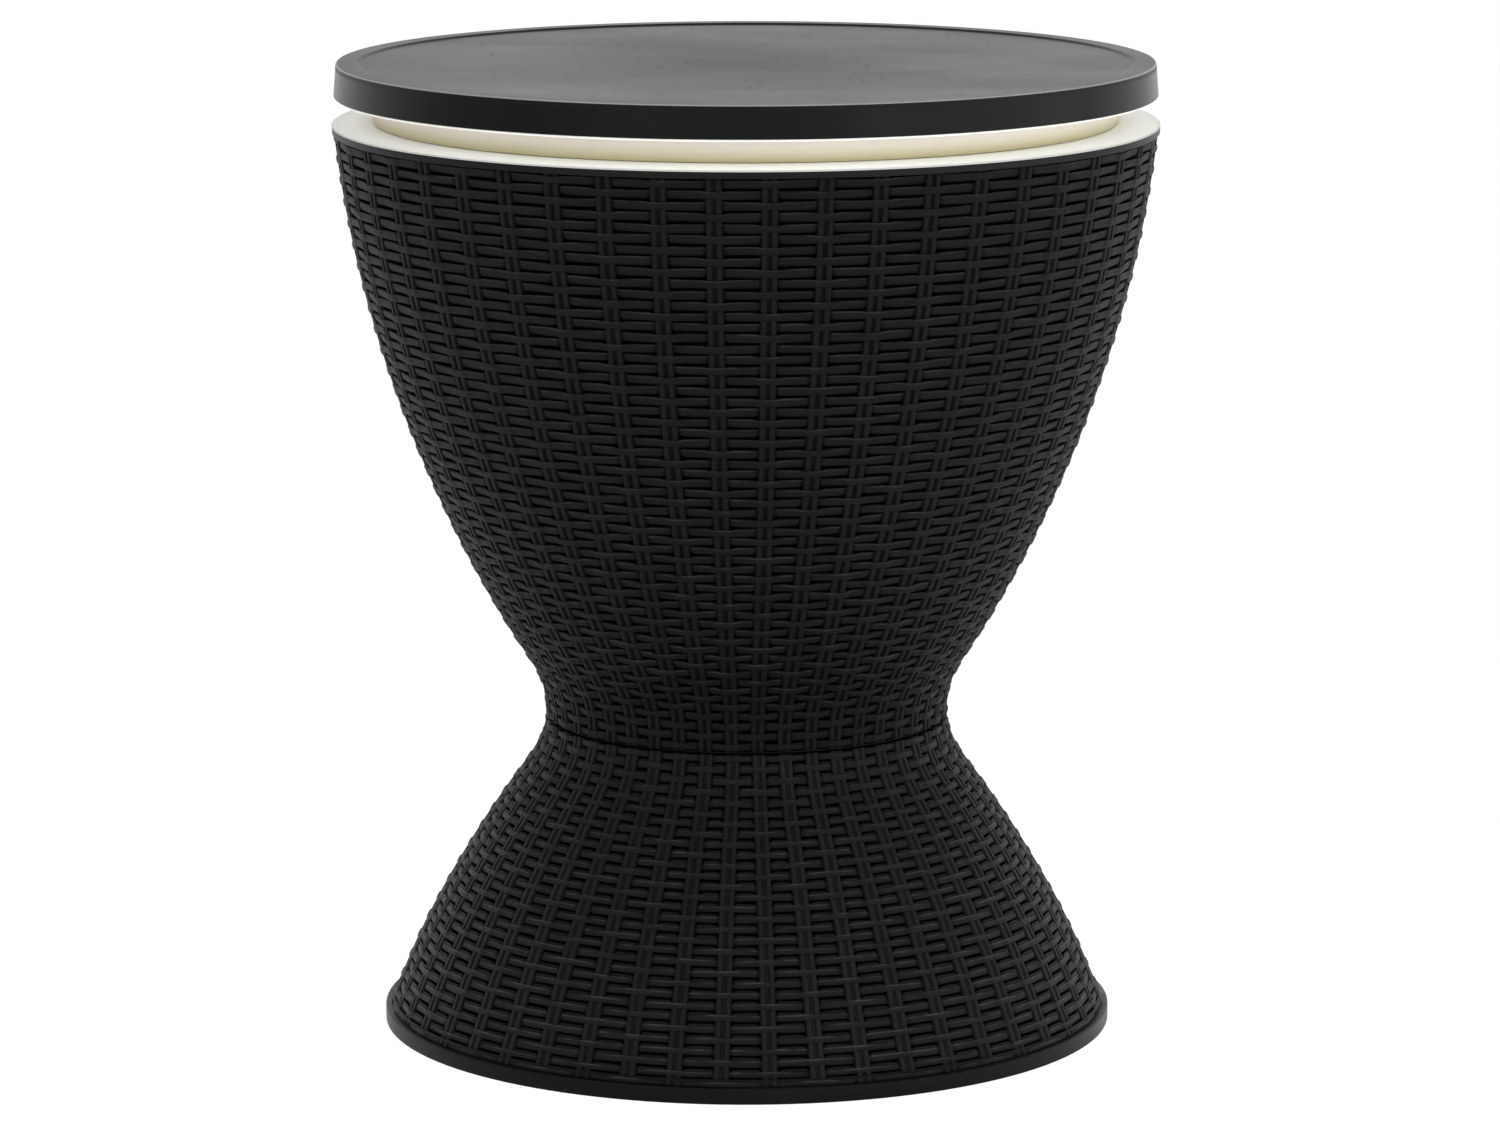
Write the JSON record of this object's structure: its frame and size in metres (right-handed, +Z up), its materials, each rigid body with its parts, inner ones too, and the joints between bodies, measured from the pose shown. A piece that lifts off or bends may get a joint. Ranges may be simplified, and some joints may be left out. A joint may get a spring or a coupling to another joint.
{
  "type": "cooler table with lid",
  "caption": "Round hourglass patio side table in black moulded wicker, with an insulated white cooler bucket under a lift-up, twist-lock lid that serves as the table top.",
  "frame": {"origin": "on the floor, under the middle of the round foot", "axes": "+Z up along the object's round axis; the object is round, so +X and +Y only fix where the weave, the lock lugs and the drain lie; the drain is towards -Y"},
  "size_m": [0.5024, 0.5022, 0.5932],
  "materials": {
    "wicker_black": "satin moulded woven relief",
    "top_black": "fine satin",
    "bucket_white": "smooth",
    "liner_cream": "smooth",
    "jacket_grey": "matte",
    "foam": "expanded bead foam",
    "post_black": "satin",
    "sleeve_white": "smooth",
    "bush_natural": "smooth",
    "rubber_dark": "matte",
    "steel": "zinc plated"
  },
  "bodies": {
    "stand": {"lower_shell": "wicker_black", "upper_shell": "wicker_black", "bucket_liner": "bucket_white", "insulation": "foam", "bucket_jacket": "jacket_grey", "center_sleeve": "sleeve_white", "sleeve_nut": "post_black", "sleeve_cap": "sleeve_white", "sleeve_end_cap": "post_black", "sleeve_gasket": "rubber_dark", "drain_pipe": "sleeve_white", "drain_gasket": "rubber_dark", "drain_nut": "post_black", "waist_screws": "steel"},
    "turn_bush": {"guide_bush": "bush_natural"},
    "lid": {"table_top": "top_black", "lid_liner": "liner_cream", "lid_rim": "liner_cream", "lid_foam": "foam", "post_flange": "post_black", "lift_post": "post_black", "post_foot": "post_black", "cover_screws": "steel", "hub_screws": "steel", "post_screws": "steel", "foot_screws": "steel"},
    "plug": {"drain_plug": "rubber_dark"}
  },
  "joints": [
    {"name": "table_twist", "type": "hinge", "parent": "stand", "child": "turn_bush", "pos_m": [0, 0, 0.527], "axis": [0, 0, 1], "range_deg": [0, 45]},
    {"name": "table_lift", "type": "slide", "parent": "turn_bush", "child": "lid", "axis": [0, 0, 1], "range_m": [0, 0.25]},
    {"name": "plug_pull", "type": "slide", "parent": "stand", "child": "plug", "axis": [0, 0, 1], "range_m": [0, 0.04]}
  ]
}
